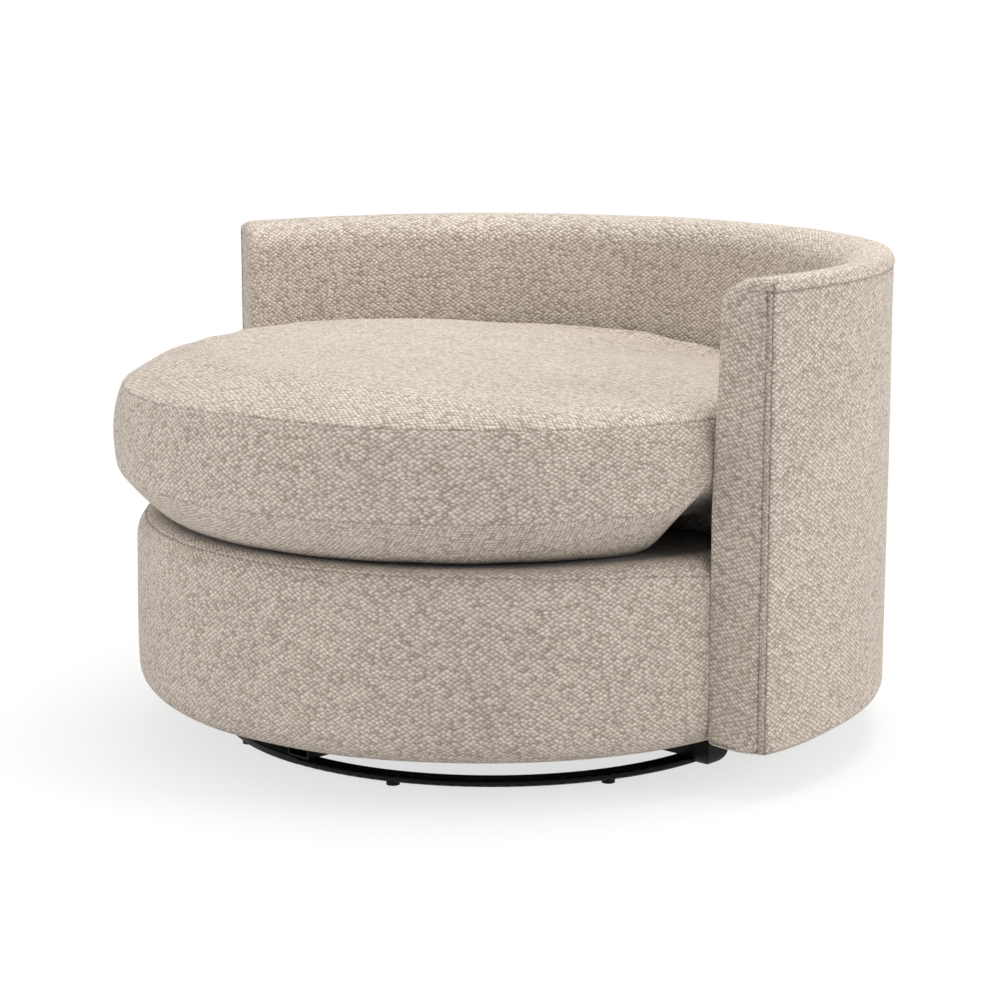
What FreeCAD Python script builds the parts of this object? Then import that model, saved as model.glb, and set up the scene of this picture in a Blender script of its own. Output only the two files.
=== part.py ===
import FreeCAD, Part
import math
import os
import re
import Sketcher

# Round swivel lounge chair: a half-round back and arm shell around a round seat drum,
# a loose round cushion, and a low ring base with a ball-race swivel.
# Millimetres. Origin on the floor at the swivel axis, +Z up, the seat faces -Y.

V = FreeCAD.Vector
doc = FreeCAD.newDocument("swivel_chair")
sheet = doc.addObject("Spreadsheet::Sheet", "Sizes")

SIZES = [
    # Shell: back and arms in one half ring
    ("shell_radius", 550),
    ("shell_wall", 66),
    ("shell_bottom", 60),
    ("shell_top", 670),
    ("shell_seam_drop", 14),
    ("shell_inner_round", 40),
    ("shell_low_round", 18),
    ("arm_end_front", 46),
    ("arm_end_slant", 19),
    ("arm_end_round", 25),
    ("cover_thick", 2.5),
    ("shell_pad", 14),
    ("skin_thick", 6),
    ("rail_thick", 18),
    ("rib_thick", 22),
    ("shell_pad_top", 28),
    ("rib_gap", 0.5),
    ("front_margin", 60),
    # Drum: round seat base
    ("drum_side_gap", 0.7),
    ("drum_forward", 18),
    ("drum_top", 312),
    ("drum_low_round", 40),
    ("drum_top_round", 20),
    ("board_thick", 18),
    ("wall_thick", 8),
    ("rim_width", 56),
    ("rim_thick", 18),
    ("deck_pad_thick", 12),
    ("strap_width", 60),
    ("strap_thick", 2),
    ("strap_pitch", 130),
    ("strap_inset", 6),
    ("post_size", 38),
    ("hem_width", 34),
    ("dust_cloth_thick", 1),
    ("dust_cloth_opening", 165),
    # Seat cushion
    ("cushion_side_gap", 0.6),
    ("cushion_forward", 54),
    ("cushion_back", 5),
    ("cushion_gap", 0.4),
    ("cushion_base_inset", 50),
    ("cushion_waist", 88),
    ("cushion_seam_height", 178),
    ("cushion_seam_inset", 10),
    ("cushion_edge_inset", 64),
    ("cushion_edge_rise", 28),
    ("cushion_crown", 10),
    # Ring base
    ("base_turn", 5),
    ("glide_height", 6),
    ("glide_radius", 9),
    ("stem_radius", 4),
    ("stem_length", 8),
    ("glide_turn", 22.5),
    ("ring_radius", 381),
    ("ring_width", 26),
    ("ring_height", 10),
    ("ring_round", 3),
    ("bar_width", 40),
    ("bar_height", 25),
    ("bar_wall", 2.5),
    ("cap_reach", 30),
    ("cap_drop", 11),
    ("fit_gap", 0.3),
    ("cut_over", 1),
    # Swivel
    ("plate_size", 220),
    ("plate_thick", 4),
    ("plate_corner", 18),
    ("race_radius", 78),
    ("race_width", 22),
    ("race_height", 7),
    ("ball_radius", 4),
    ("ball_gap", 0.1),
    ("race_open", 1.6),
    ("pin_radius", 9),
    ("pin_gap", 0.08),
    ("pin_end", 3),
    ("pin_chamfer", 1),
    ("nut_radius", 15),
    ("nut_height", 9),
    ("washer_radius", 20),
    ("washer_thick", 2),
    ("bolt_radius", 4),
    ("bolt_head_radius", 7.5),
    ("bolt_head_height", 4),
    ("base_bolt_circle", 100),
    ("seat_bolt_spacing", 172),
    ("seat_bolt_short", 4),
    ("board_well", 27),
    ("joint_bolt_radius", 4),
    ("joint_bolt_height", 200),
    ("joint_bolt_gap", 0.2),
    ("joint_bolt_tail", 22),
]
ALIASES = set()
for row, (alias, number) in enumerate(SIZES, start=1):
    sheet.set("A%d" % row, alias)
    sheet.set("B%d" % row, str(number))
    sheet.setAlias("B%d" % row, alias)
    ALIASES.add(alias)
doc.recompute()


# A formula in size names becomes an expression that reads the sheet
def link(formula):
    def prefix(match):
        word = match.group(0)
        return "Sizes." + word if word in ALIASES else word
    return re.sub(r"[a-z_]+[a-z]", prefix, str(formula))


def value(formula):
    return float(sheet.evalExpression(link(formula)))


def bind(thing, prop, formula):
    thing.setExpression(prop, link(formula))


def put(thing, x="0", y="0", z="0"):
    for axis, formula in (("x", x), ("y", y), ("z", z)):
        if formula != "0":
            bind(thing, "Placement.Base." + axis, formula)


def turn(thing, angle):
    thing.Placement = FreeCAD.Placement(V(0, 0, 0), FreeCAD.Rotation(V(0, 0, 1), value(angle)))
    bind(thing, "Placement.Rotation.Angle", angle)


def make_body(label):
    body = doc.addObject("PartDesign::Body", label)
    body.Label = label
    return body


def origin_part(body, role):
    return [part for part in body.Origin.OriginFeatures if part.Role == role][0]


# One closed outline in a sketch. Each point is (x, y), or (x, y, radius, sense) where an arc
# leads to it from the point before; sense 1 turns anticlockwise, -1 clockwise.
def outline(body, name, plane, points, offset=None):
    sketch = body.newObject("Sketcher::SketchObject", name)
    sketch.AttachmentSupport = [(origin_part(body, plane), "")]
    sketch.MapMode = "FlatFace"
    if offset:
        bind(sketch, "AttachmentOffset.Base.z", offset)
    add_outline(sketch, points)
    return sketch


def add_outline(sketch, points):
    spots = [V(value(point[0]), value(point[1]), 0) for point in points]
    ends = []
    for i, point in enumerate(points):
        start, end = spots[i - 1], spots[i]
        if len(point) == 2:
            edge = sketch.addGeometry(Part.LineSegment(start, end), False)
            ends.append((edge, 1, 2))
            continue
        radius, sense = value(point[2]), point[3]
        chord = end - start
        rise = math.sqrt(max(radius ** 2 - (chord.Length / 2) ** 2, 0))
        side = V(-chord.y, chord.x, 0).normalize()
        centre = (start + end) / 2 + side * rise * sense
        first, last = (start, end) if sense > 0 else (end, start)
        angle_a = math.atan2(first.y - centre.y, first.x - centre.x)
        angle_b = math.atan2(last.y - centre.y, last.x - centre.x)
        if angle_b < angle_a:
            angle_b += 2 * math.pi
        circle = Part.Circle(centre, V(0, 0, 1), radius)
        edge = sketch.addGeometry(Part.ArcOfCircle(circle, angle_a, angle_b), False)
        ends.append((edge, 1, 2) if sense > 0 else (edge, 2, 1))
        number = sketch.addConstraint(Sketcher.Constraint("Radius", edge, radius))
        bind(sketch, "Constraints[%d]" % number, point[2])
    for i, point in enumerate(points):
        edge, _, tail = ends[i]
        following, head, _ = ends[(i + 1) % len(points)]
        sketch.addConstraint(Sketcher.Constraint("Coincident", edge, tail, following, head))
        for kind, axis, formula in (("DistanceX", -2, point[0]), ("DistanceY", -1, point[1])):
            if formula == "0":
                sketch.addConstraint(Sketcher.Constraint("PointOnObject", edge, tail, axis))
            else:
                number = sketch.addConstraint(
                    Sketcher.Constraint(kind, -1, 1, edge, tail, value(formula)))
                bind(sketch, "Constraints[%d]" % number, formula)


def circle_sketch(body, name, x, y, radius, offset=None):
    sketch = body.newObject("Sketcher::SketchObject", name)
    sketch.AttachmentSupport = [(origin_part(body, "XY_Plane"), "")]
    sketch.MapMode = "FlatFace"
    if offset:
        bind(sketch, "AttachmentOffset.Base.z", offset)
    sketch.addGeometry(Part.Circle(V(value(x), value(y), 0), V(0, 0, 1), value(radius)), False)
    for constraint, formula in (
            (Sketcher.Constraint("Radius", 0, value(radius)), radius),
            (Sketcher.Constraint("DistanceX", -1, 1, 0, 3, value(x)), x),
            (Sketcher.Constraint("DistanceY", -1, 1, 0, 3, value(y)), y)):
        if formula == "0":
            axis = -2 if constraint.Type == "DistanceX" else -1
            sketch.addConstraint(Sketcher.Constraint("PointOnObject", 0, 3, axis))
            continue
        number = sketch.addConstraint(constraint)
        bind(sketch, "Constraints[%d]" % number, formula)
    return sketch


def revolve(body, sketch, angle=360, backwards=False):
    feature = body.newObject("PartDesign::Revolution", sketch.Name + "_turned")
    feature.Profile = sketch
    feature.ReferenceAxis = (sketch, ["V_Axis"])
    feature.Angle = angle
    feature.Reversed = backwards
    return feature


def pad(body, sketch, length, backwards=False):
    feature = body.newObject("PartDesign::Pad", sketch.Name + "_pad")
    feature.Profile = sketch
    bind(feature, "Length", length)
    feature.Reversed = backwards
    return feature


def pocket(body, sketch, length, backwards=False):
    feature = body.newObject("PartDesign::Pocket", sketch.Name + "_cut")
    feature.Profile = sketch
    bind(feature, "Length", length)
    feature.Reversed = backwards
    return feature


def repeat_round(body, features, count):
    pattern = body.newObject("PartDesign::PolarPattern", features[0].Name + "_round")
    pattern.Originals = features
    pattern.Axis = (origin_part(body, "Z_Axis"), [""])
    pattern.Angle = 360
    pattern.Occurrences = count
    body.Tip = pattern
    return pattern


# A turned piece: outline of radius and height, full turn about Z
def turned(label, points):
    body = make_body(label)
    revolve(body, outline(body, label + "_profile", "XZ_Plane", points))
    return body


# A flat ring or disc between two heights
def ring_piece(label, inner, outer, low, high):
    return turned(label, [(inner, low), (outer, low), (outer, high), (inner, high)])


def slab(label, points, low, height):
    body = make_body(label)
    pad(body, outline(body, label + "_plan", "XY_Plane", points, low), height)
    return body


def cylinder(name, radius, height):
    thing = doc.addObject("Part::Cylinder", name)
    bind(thing, "Radius", radius)
    bind(thing, "Height", height)
    return thing


def cut(label, base, tool):
    thing = doc.addObject("Part::Cut", label)
    thing.Label = label
    thing.Base = base
    thing.Tool = tool
    return thing


def group(label, things):
    thing = doc.addObject("Part::Compound", label)
    thing.Label = label
    thing.Links = things
    return thing


# Heights of the swivel stack, from the floor up
RING_TOP = "(glide_height + ring_height)"
BAR_TOP = "(glide_height + ring_height + bar_height)"
LOW_PLATE_TOP = "(glide_height + ring_height + bar_height + plate_thick)"
RACE_SPLIT = "(glide_height + ring_height + bar_height + plate_thick + race_height)"
HIGH_RACE_LOW = "(" + RACE_SPLIT + " + race_open)"
HIGH_RACE_TOP = "(" + HIGH_RACE_LOW + " + race_height)"
BOARD_LOW = "(" + HIGH_RACE_TOP + " + plate_thick)"
BOARD_TOP = "(" + BOARD_LOW + " + board_thick)"
DRUM_LOW = "(" + BOARD_LOW + " - cover_thick)"

# Ring base: rolled steel ring with eight stem holes, on nylon glides
ring_inner = "ring_radius - ring_width"
floor_ring = turned("floor_ring", [
    (ring_inner + " + ring_round", "glide_height", "ring_round", 1),
    ("ring_radius - ring_round", "glide_height"),
    ("ring_radius", "glide_height + ring_round", "ring_round", 1),
    ("ring_radius", RING_TOP + " - ring_round"),
    ("ring_radius - ring_round", RING_TOP, "ring_round", 1),
    (ring_inner + " + ring_round", RING_TOP),
    (ring_inner, RING_TOP + " - ring_round", "ring_round", 1),
    (ring_inner, "glide_height + ring_round"),
])
glide_circle = "(ring_radius - ring_width / 2)"
glide_x = glide_circle + " * cos(glide_turn * 1 deg)"
glide_y = glide_circle + " * sin(glide_turn * 1 deg)"
doc.recompute()
stem_hole = circle_sketch(floor_ring, "stem_hole", glide_x, glide_y, "stem_radius + ball_gap",
                          "glide_height")
stem_cut = pocket(floor_ring, stem_hole, "stem_length", True)
repeat_round(floor_ring, [stem_cut], 8)

glides = make_body("glides")
glides.AllowCompound = True
glide_foot = pad(glides, circle_sketch(glides, "glide_foot", glide_x, glide_y, "glide_radius"),
                 "glide_height")
glide_stem = pad(glides, circle_sketch(glides, "glide_stem", glide_x, glide_y, "stem_radius",
                                       "glide_height"), "stem_length - ball_gap")
repeat_round(glides, [glide_foot, glide_stem], 8)

# Cross bar: square steel tube lying over the ring, with two side bars butted to it
def tube_points(width, height, low):
    half = "(" + width + ") / 2"
    return [("-" + half, low), (half, low), (half, low + " + " + height),
            ("-" + half, low + " + " + height)]


cross_bar = make_body("cross_bar")
bar_section = outline(cross_bar, "bar_section", "YZ_Plane",
                      tube_points("bar_width", "bar_height", RING_TOP))
add_outline(bar_section, tube_points("bar_width - 2 * bar_wall", "bar_height - 2 * bar_wall",
                                     RING_TOP + " + bar_wall"))
bar_run = pad(cross_bar, bar_section, "2 * ring_radius")
bar_run.Midplane = True

side_reach = "(ring_radius - ring_round - bar_width / 2)"


def side_bar(name, front):
    body = make_body(name)
    start = "-bar_width / 2" if front else "bar_width / 2"
    section = outline(body, name + "_section", "XZ_Plane",
                      tube_points("bar_width", "bar_height", RING_TOP),
                      "bar_width / 2" if front else "-bar_width / 2")
    add_outline(section, tube_points("bar_width - 2 * bar_wall", "bar_height - 2 * bar_wall",
                                     RING_TOP + " + bar_wall"))
    pad(body, section, side_reach, not front)
    return body


side_bars = group("side_bars", [side_bar("front_bar", True), side_bar("rear_bar", False)])


# Nylon caps over the two ends of the cross bar, hanging down outside the ring with a domed end
def end_cap(name):
    inner = "(ring_radius + fit_gap)"
    outer = "(" + inner + " + cap_reach)"
    half = "(bar_width / 2)"
    low = "(" + RING_TOP + " - cap_drop + bar_width / 2)"
    across = make_body(name + "_across")
    cap_points = [
        ("-" + half, low),
        ("0", low + " - " + half, half, 1),
        (half, low, half, 1),
        (half, BAR_TOP),
        ("-" + half, BAR_TOP),
    ]
    section = outline(across, name + "_section", "YZ_Plane", cap_points, inner)
    pad(across, section, "cap_reach")
    along = make_body(name + "_along")
    side_points = [
        (inner, low + " - " + half),
        (outer + " - " + half, low + " - " + half),
        (outer, low, half, 1),
        (outer, BAR_TOP),
        (inner, BAR_TOP),
    ]
    side = outline(along, name + "_side", "XZ_Plane", side_points, half)
    pad(along, side, "bar_width", True)
    cap = doc.addObject("Part::Common", name)
    cap.Base = across
    cap.Tool = along
    return cap


cap_right = end_cap("cap_right")
cap_left = doc.addObject("Part::Mirroring", "cap_left")
cap_left.Source = cap_right
cap_left.Normal = V(1, 0, 0)
bar_caps = group("bar_caps", [cap_right, cap_left])

# Swivel: two square plates, two grooved races, a ring of balls and the king pin
plate_half = "(plate_size / 2)"


def plate_points():
    near = plate_half + " - plate_corner"
    return [
        ("-(" + near + ")", "-" + plate_half, "plate_corner", 1),
        (near, "-" + plate_half),
        (plate_half, "-(" + near + ")", "plate_corner", 1),
        (plate_half, near),
        (near, plate_half, "plate_corner", 1),
        ("-(" + near + ")", plate_half),
        ("-" + plate_half, near, "plate_corner", 1),
        ("-" + plate_half, "-(" + near + ")"),
    ]


def bored_plate(label, low, on_axis):
    body = slab(label, plate_points(), low, "plate_thick")
    doc.recompute()
    bore = circle_sketch(body, label + "_bore", "0", "0", "pin_radius + pin_gap", low)
    pocket(body, bore, "plate_thick", True)
    doc.recompute()
    x = "base_bolt_circle" if on_axis else "seat_bolt_spacing / 2"
    y = "0" if on_axis else "seat_bolt_spacing / 2"
    hole = circle_sketch(body, label + "_hole", x, y, "bolt_radius + ball_gap", low)
    repeat_round(body, [pocket(body, hole, "plate_thick", True)], 4)
    return body


lower_plate = bored_plate("lower_swivel_plate", BAR_TOP, True)
upper_plate = bored_plate("upper_swivel_plate", HIGH_RACE_TOP, False)

race_in = "(race_radius - race_width / 2)"
race_out = "(race_radius + race_width / 2)"
groove = "(ball_radius + ball_gap)"
ball_level = "(" + RACE_SPLIT + " + race_open / 2)"
groove_half = "sqrt(" + groove + " ^ 2 - (race_open / 2) ^ 2)"
lower_race = turned("lower_race", [
    (race_in, LOW_PLATE_TOP),
    (race_out, LOW_PLATE_TOP),
    (race_out, RACE_SPLIT),
    ("race_radius + " + groove_half, RACE_SPLIT),
    ("race_radius - " + groove_half, RACE_SPLIT, groove, -1),
    (race_in, RACE_SPLIT),
])
upper_race = turned("upper_race", [
    (race_in, HIGH_RACE_LOW),
    ("race_radius - " + groove_half, HIGH_RACE_LOW),
    ("race_radius + " + groove_half, HIGH_RACE_LOW, groove, -1),
    (race_out, HIGH_RACE_LOW),
    (race_out, HIGH_RACE_TOP),
    (race_in, HIGH_RACE_TOP),
])
BALL_COUNT = 12
balls = []
for index in range(BALL_COUNT):
    ball = doc.addObject("Part::Sphere", "ball_%d" % (index + 1))
    bind(ball, "Radius", "ball_radius")
    angle = "%g * 1 deg" % (360 / BALL_COUNT * index)
    put(ball, "race_radius * cos(%s)" % angle, "race_radius * sin(%s)" % angle, ball_level)
    balls.append(ball)
bearing_balls = group("bearing_balls", balls)

pin_top = "(" + BOARD_LOW + " + washer_thick + nut_height + pin_end)"
king_pin = turned("king_pin", [
    ("0", BAR_TOP),
    ("pin_radius", BAR_TOP),
    ("pin_radius", pin_top + " - pin_chamfer"),
    ("pin_radius - pin_chamfer", pin_top),
    ("0", pin_top),
])
pin_washer = ring_piece("pin_washer", "pin_radius + pin_gap", "washer_radius",
                        BOARD_LOW, BOARD_LOW + " + washer_thick")
pin_nut = make_body("pin_nut")
nut_low = "(" + BOARD_LOW + " + washer_thick)"
nut_points = []
for index in range(6):
    angle = "%g * 1 deg" % (60 * index + 30)
    nut_points.append(("nut_radius * cos(%s)" % angle, "nut_radius * sin(%s)" % angle))
nut_plan = outline(pin_nut, "nut_plan", "XY_Plane", nut_points, nut_low)
pad(pin_nut, nut_plan, "nut_height")
doc.recompute()
nut_bore = circle_sketch(pin_nut, "nut_bore", "0", "0", "pin_radius", nut_low)
pocket(pin_nut, nut_bore, "nut_height", True)


# Four bolts at the corners of a square, head below or above the plate they hold
def bolt_set(label, x, y, head_low, shank_low, shank_length):
    body = make_body(label)
    body.AllowCompound = True
    head = pad(body, circle_sketch(body, label + "_head", x, y, "bolt_head_radius", head_low),
               "bolt_head_height")
    shank = pad(body, circle_sketch(body, label + "_shank", x, y, "bolt_radius", shank_low),
                shank_length)
    repeat_round(body, [head, shank], 4)
    return body


base_bolts = bolt_set("base_bolts", "base_bolt_circle", "0", LOW_PLATE_TOP,
                      BAR_TOP + " - bar_wall", "bar_wall + plate_thick")
seat_bolts = bolt_set("seat_bolts", "seat_bolt_spacing / 2", "seat_bolt_spacing / 2",
                      HIGH_RACE_TOP + " - bolt_head_height", HIGH_RACE_TOP,
                      "plate_thick + board_thick - seat_bolt_short")
bar_holes = []
for index in range(4):
    hole = cylinder("bar_hole_%d" % (index + 1), "bolt_radius + ball_gap", "bar_wall + 2 * cut_over")
    angle = "%g * 1 deg" % (90 * index)
    put(hole, "base_bolt_circle * cos(%s)" % angle, "base_bolt_circle * sin(%s)" % angle,
        BAR_TOP + " - bar_wall - cut_over")
    bar_holes.append(hole)
bar_hole_group = group("bar_holes", bar_holes)
cross_bar_bored = cut("cross_bar", cross_bar, bar_hole_group)
side_bars_bored = cut("side_bars", side_bars, bar_hole_group)

base_nodes = [floor_ring, glides, cross_bar_bored, side_bars_bored, bar_caps, lower_plate,
              lower_race, bearing_balls, king_pin, pin_washer, pin_nut, base_bolts]

# Drum frame: base board, bent wall, rim, posts, webbing and deck pad
DRUM_RADIUS = "(shell_radius - shell_wall - drum_side_gap)"
DRUM_IN = "(" + DRUM_RADIUS + " - drum_low_round)"
drum_y = "-drum_forward"
base_disc = turned("base_disc", [("0", BOARD_LOW), (DRUM_IN, BOARD_LOW), (DRUM_IN, BOARD_TOP),
                                 ("0", BOARD_TOP)])
put(base_disc, y=drum_y)
board_wells = [cylinder("pin_well", "board_well", "board_thick + 2 * cut_over")]
put(board_wells[0], z=BOARD_LOW + " - cut_over")
for across in (-1, 1):
    for back in (-1, 1):
        well = cylinder("seat_bolt_well", "bolt_radius + ball_gap", "board_thick + 2 * cut_over")
        put(well, "%d * seat_bolt_spacing / 2" % across, "%d * seat_bolt_spacing / 2" % back,
            BOARD_LOW + " - cut_over")
        board_wells.append(well)
base_board = cut("base_board", base_disc, group("board_wells", board_wells))
rim_top = "(drum_top - cover_thick - deck_pad_thick - 2 * strap_thick)"
drum_wall = ring_piece("drum_wall", DRUM_IN + " - wall_thick", DRUM_IN, BOARD_TOP, rim_top)
drum_rim = ring_piece("drum_rim", DRUM_IN + " - wall_thick - rim_width",
                      DRUM_IN + " - wall_thick", rim_top + " - rim_thick", rim_top)
post_circle = "(" + DRUM_IN + " - wall_thick - rim_width / 2)"
posts = []
POST_COUNT = 6
for index in range(POST_COUNT):
    post = doc.addObject("Part::Box", "post_%d" % (index + 1))
    bind(post, "Length", "post_size")
    bind(post, "Width", "post_size")
    bind(post, "Height", rim_top + " - rim_thick - " + BOARD_TOP)
    angle = "%g * 1 deg" % (360 / POST_COUNT * index)
    put(post, post_circle + " * cos(%s) - post_size / 2" % angle,
        post_circle + " * sin(%s) - post_size / 2" % angle, BOARD_TOP)
    posts.append(post)
frame_posts = group("frame_posts", posts)

STRAP_STEPS = (-2, -1, 0, 1, 2)
strap_reach = "(" + DRUM_IN + " - wall_thick - strap_inset)"


def straps(label, along_x, low):
    things = []
    for step in STRAP_STEPS:
        strap = doc.addObject("Part::Box", "%s_%d" % (label, step + 3))
        edge = "(abs(%d * strap_pitch) + strap_width / 2)" % step
        length = "2 * sqrt(%s ^ 2 - %s ^ 2)" % (strap_reach, edge)
        bind(strap, "Length", length if along_x else "strap_width")
        bind(strap, "Width", "strap_width" if along_x else length)
        bind(strap, "Height", "strap_thick")
        across = "%d * strap_pitch - strap_width / 2" % step
        back = "-(" + length + ") / 2"
        put(strap, back if along_x else across, across if along_x else back, low)
        things.append(strap)
    return group(label, things)


long_straps = straps("long_straps", False, rim_top)
cross_straps = straps("cross_straps", True, rim_top + " + strap_thick")
deck_low = "(drum_top - cover_thick - deck_pad_thick)"
deck_pad = turned("deck_pad", [("0", deck_low), (DRUM_IN, deck_low),
                               (DRUM_IN, "drum_top - cover_thick"),
                               ("0", "drum_top - cover_thick")])


# Drum form drawn in by an inset: rounded foot and rounded top edge
def drum_side(inset):
    outer = "(%s - %s)" % (DRUM_RADIUS, inset)
    low = "(" + DRUM_LOW + " + %s)" % inset
    high = "(drum_top - %s)" % inset
    foot = "(drum_low_round - %s)" % inset
    edge = "(drum_top_round - %s)" % inset
    return [
        (outer + " - " + foot, low),
        (outer, low + " + " + foot, foot, 1),
        (outer, high + " - " + edge),
        (outer + " - " + edge, high, edge, 1),
    ]


foam_low = BOARD_LOW
drum_foam = turned("drum_foam", drum_side("cover_thick") + [
    (DRUM_IN, "drum_top - cover_thick"),
])
hem_inner = "(" + DRUM_IN + " - hem_width)"
inner_side = drum_side("cover_thick")
drum_cover = turned("drum_cover", [(hem_inner, DRUM_LOW)] + drum_side("0") + [
    ("0", "drum_top"),
    ("0", "drum_top - cover_thick"),
    inner_side[3][:2],
    (inner_side[2][0], inner_side[2][1], inner_side[3][2], -1),
    inner_side[1][:2],
    (inner_side[0][0], inner_side[0][1], inner_side[1][2], -1),
    (hem_inner, foam_low),
])
dust_cloth = ring_piece("dust_cloth", "dust_cloth_opening", hem_inner + " - dust_cloth_thick",
                        BOARD_LOW + " - dust_cloth_thick", BOARD_LOW)
for thing in (drum_wall, drum_rim, frame_posts, long_straps, cross_straps, deck_pad,
              drum_foam, drum_cover, dust_cloth):
    put(thing, y=drum_y)

# Shell: every layer is the same rounded wall, drawn in by its own inset and closed at the arms
SLOPE = "(arm_end_slant / shell_wall)"
SLANT = "sqrt(1 + " + SLOPE + " ^ 2)"
FAR = "(shell_radius + front_margin)"


def wall_form(name, inner, outer, low, high, low_round, outer_round, inner_round):
    points = [(inner, low)]
    if low_round == "0":
        points += [(outer, low)]
    else:
        points += [(outer + " - " + low_round, low), (outer, low + " + " + low_round, low_round, 1)]
    if outer_round == "0":
        points += [(outer, high), (inner, high)]
    else:
        points += [(outer, high + " - " + outer_round),
                   (outer + " - " + outer_round, high, outer_round, 1),
                   (inner + " + " + inner_round, high),
                   (inner, high + " - " + inner_round, inner_round, 1)]
    return turned(name, points)


# Everything in front of the slanted arm ends, with the rounded inner corner
def front_block(name, inset, corner):
    inner = "(shell_radius - shell_wall + %s)" % inset
    line_shift = "(%s * %s)" % (inset, SLANT)
    centre_x = "(%s + %s)" % (inner, corner)
    line_at_centre = "(-arm_end_front + (%s - shell_radius + shell_wall) * %s + %s)" % (
        centre_x, SLOPE, line_shift)
    centre_y = "(%s + %s * %s)" % (line_at_centre, corner, SLANT)
    touch_x = "(%s + %s * %s / %s)" % (centre_x, corner, SLOPE, SLANT)
    touch_y = "(%s - %s / %s)" % (centre_y, corner, SLANT)
    far_y = "(%s + (%s - %s) * %s)" % (touch_y, FAR, touch_x, SLOPE)
    body = make_body(name)
    points = [
        ("-" + FAR, "-" + FAR),
        (FAR, "-" + FAR),
        (FAR, far_y),
        (touch_x, touch_y),
        (inner, centre_y, corner, -1),
        ("-" + inner, centre_y),
        ("-" + touch_x, touch_y, corner, -1),
        ("-" + FAR, far_y),
    ]
    pad(body, outline(body, name + "_plan", "XY_Plane", points), "shell_top + front_margin")
    return body


def shell_layer(name, inset):
    wall = wall_form(
        name + "_wall",
        "(shell_radius - shell_wall + %s)" % inset,
        "(shell_radius - %s)" % inset,
        "(shell_bottom + %s)" % inset,
        "(shell_top - %s)" % inset,
        "(shell_low_round - %s)" % inset,
        "(shell_seam_drop - %s)" % inset,
        "(shell_inner_round - %s)" % inset)
    front = front_block(name + "_front", inset, "(arm_end_round - %s)" % inset)
    return cut(name, wall, front)


skin_in = "(shell_radius - shell_wall + shell_pad)"
skin_out = "(shell_radius - cover_thick * 2)"
frame_low = "(shell_bottom + shell_pad)"
frame_high = "(shell_top - shell_pad_top)"
frame_front = front_block("frame_front", "shell_pad", "(arm_end_round - shell_pad)")


def frame_piece(label, inner, outer, low, high):
    return cut(label, ring_piece(label + "_ring", inner, outer, low, high), frame_front)


inner_skin = frame_piece("shell_inner_skin", skin_in, skin_in + " + skin_thick", frame_low,
                         frame_high)
outer_skin = frame_piece("shell_outer_skin", skin_out + " - skin_thick", skin_out,
                         "(shell_bottom + shell_low_round)", frame_high)
rib_in = skin_in + " + skin_thick"
rib_out = skin_out + " - skin_thick"
bottom_rail = frame_piece("shell_bottom_rail", rib_in, rib_out, frame_low,
                          frame_low + " + rail_thick")
top_rail = frame_piece("shell_top_rail", rib_in, rib_out, frame_high + " - rail_thick",
                       frame_high)

RIB_ANGLES = (4, 32, 61, 90, 119, 148, 176)
ribs = []
for index, angle in enumerate(RIB_ANGLES):
    rib = doc.addObject("Part::Box", "rib_%d" % (index + 1))
    bind(rib, "Length", "shell_wall - shell_pad - cover_thick * 2 - skin_thick * 2 - rib_gap * 2")
    bind(rib, "Width", "rib_thick")
    bind(rib, "Height", frame_high + " - " + frame_low + " - 2 * rail_thick")
    rib.Placement = FreeCAD.Placement(V(0, 0, 0), FreeCAD.Rotation(V(0, 0, 1), angle))
    reach = "(" + rib_in + " + rib_gap)"
    put(rib, "%s * cos(%g * 1 deg) + rib_thick / 2 * sin(%g * 1 deg)" % (reach, angle, angle),
        "%s * sin(%g * 1 deg) - rib_thick / 2 * cos(%g * 1 deg)" % (reach, angle, angle),
        frame_low + " + rail_thick")
    ribs.append(rib)
shell_ribs = group("shell_ribs", ribs)

frame_space_low = frame_piece("frame_space_low", skin_in, rib_out, frame_low, frame_high)
frame_space_out = frame_piece("frame_space_out", rib_out, skin_out,
                              "(shell_bottom + shell_low_round)", frame_high)
frame_space = doc.addObject("Part::MultiFuse", "frame_space")
frame_space.Shapes = [frame_space_low, frame_space_out]

cover_form = shell_layer("shell_cover_form", "0")
foam_form = shell_layer("shell_foam_form", "cover_thick")

# Bolts that join the drum wall to the shell's inner skin, in the rear half
JOINT_ANGLES = (40, 65, 90, 115, 140)
bolt_inner = "(" + DRUM_IN + " - wall_thick - drum_forward)"


def radial_rods(label, radius, start, length):
    things = []
    for index, angle in enumerate(JOINT_ANGLES):
        rod = cylinder("%s_%d" % (label, index + 1), radius, length)
        rod.Placement = FreeCAD.Placement(
            V(0, 0, 0), FreeCAD.Rotation(V(0, 0, 1), V(math.cos(math.radians(angle)),
                                                     math.sin(math.radians(angle)), 0)))
        put(rod, "%s * cos(%g * 1 deg)" % (start, angle), "%s * sin(%g * 1 deg)" % (start, angle),
            "joint_bolt_height")
        things.append(rod)
    return group(label, things)


joint_start = "(" + DRUM_IN + " - wall_thick - drum_forward - joint_bolt_tail)"
joint_end = "(" + skin_in + " + skin_thick)"
joint_bores = radial_rods("joint_bores", "joint_bolt_radius + joint_bolt_gap", joint_start,
                          joint_end + " - " + joint_start)
joint_rods = radial_rods("joint_bolts", "joint_bolt_radius", joint_start,
                         joint_end + " - " + joint_start)

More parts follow.
